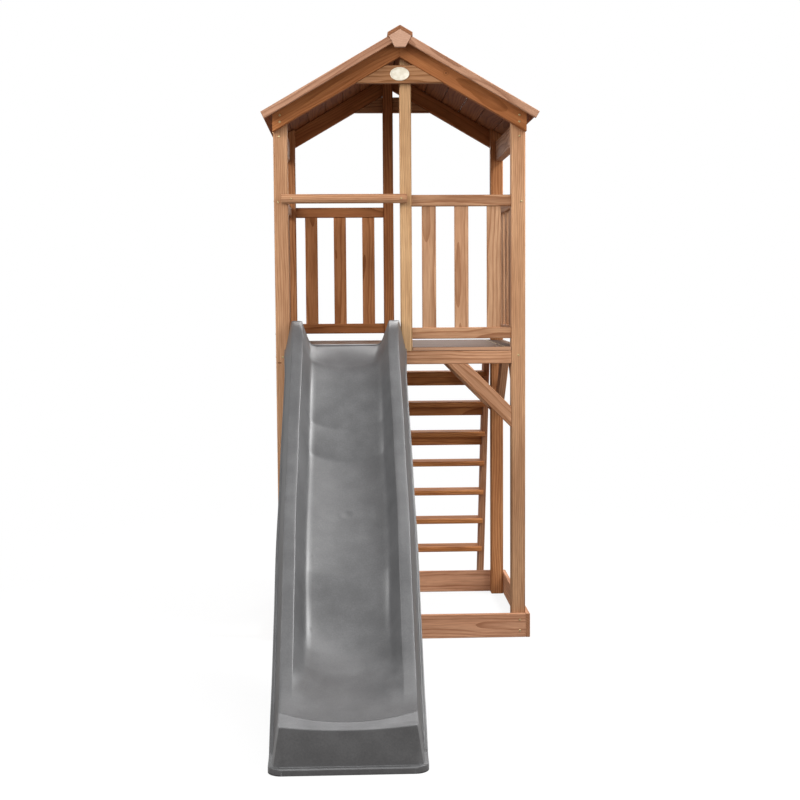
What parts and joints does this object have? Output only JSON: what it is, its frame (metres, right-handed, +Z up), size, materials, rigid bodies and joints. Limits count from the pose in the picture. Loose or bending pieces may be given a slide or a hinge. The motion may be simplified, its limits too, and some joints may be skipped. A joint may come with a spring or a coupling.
{
  "type": "play tower with slide",
  "caption": "Timber play tower with a raised railed deck, gable roof, rear ladder, sandpit boards and a moulded wave slide.",
  "frame": {"origin": "on the ground under the middle of the whole outline", "axes": "+Z up; +Y from the slide towards the ladder; +X to the right as seen from the slide"},
  "size_m": [1.0848, 2.8032, 2.4311],
  "materials": {
    "stained_pine": "brown stained planed softwood",
    "grey_polyethylene": "moulded grey polyethylene with a soft sheen",
    "cream_enamel": "bare cream plate"
  },
  "bodies": {
    "root": {"back_base_board": "stained_pine", "back_collar_tie": "stained_pine", "back_left_post": "stained_pine", "back_left_rafter": "stained_pine", "back_middle_post": "stained_pine", "back_railing": "stained_pine", "back_ridge_block": "stained_pine", "back_right_brace": "stained_pine", "back_right_post": "stained_pine", "back_right_rafter": "stained_pine", "back_rim_beam": "stained_pine", "deck_board_1": "stained_pine", "deck_board_2": "stained_pine", "deck_board_3": "stained_pine", "deck_board_4": "stained_pine", "deck_board_5": "stained_pine", "deck_board_6": "stained_pine", "deck_board_7": "stained_pine", "front_base_board": "stained_pine", "front_collar_tie": "stained_pine", "front_left_post": "stained_pine", "front_left_rafter": "stained_pine", "front_middle_post": "stained_pine", "front_railing": "stained_pine", "front_ridge_block": "stained_pine", "front_right_brace": "stained_pine", "front_right_post": "stained_pine", "front_right_rafter": "stained_pine", "front_rim_beam": "stained_pine", "handrail_bar": "stained_pine", "left_base_board": "stained_pine", "left_railing": "stained_pine", "left_ridge_cap": "stained_pine", "left_rim_beam": "stained_pine", "left_roof_boards": "stained_pine", "left_side_back_brace": "stained_pine", "left_side_front_brace": "stained_pine", "left_stringer": "stained_pine", "left_top_beam": "stained_pine", "oval_plate": "cream_enamel", "right_base_board": "stained_pine", "right_railing": "stained_pine", "right_ridge_cap": "stained_pine", "right_rim_beam": "stained_pine", "right_roof_boards": "stained_pine", "right_side_back_brace": "stained_pine", "right_side_front_brace": "stained_pine", "right_stringer": "stained_pine", "right_top_beam": "stained_pine", "riser_1": "stained_pine", "riser_2": "stained_pine", "riser_3": "stained_pine", "slide": "grey_polyethylene", "tread_1": "stained_pine", "tread_2": "stained_pine", "tread_3": "stained_pine", "tread_4": "stained_pine", "tread_5": "stained_pine", "tread_6": "stained_pine", "tread_7": "stained_pine"}
  },
  "joints": []
}
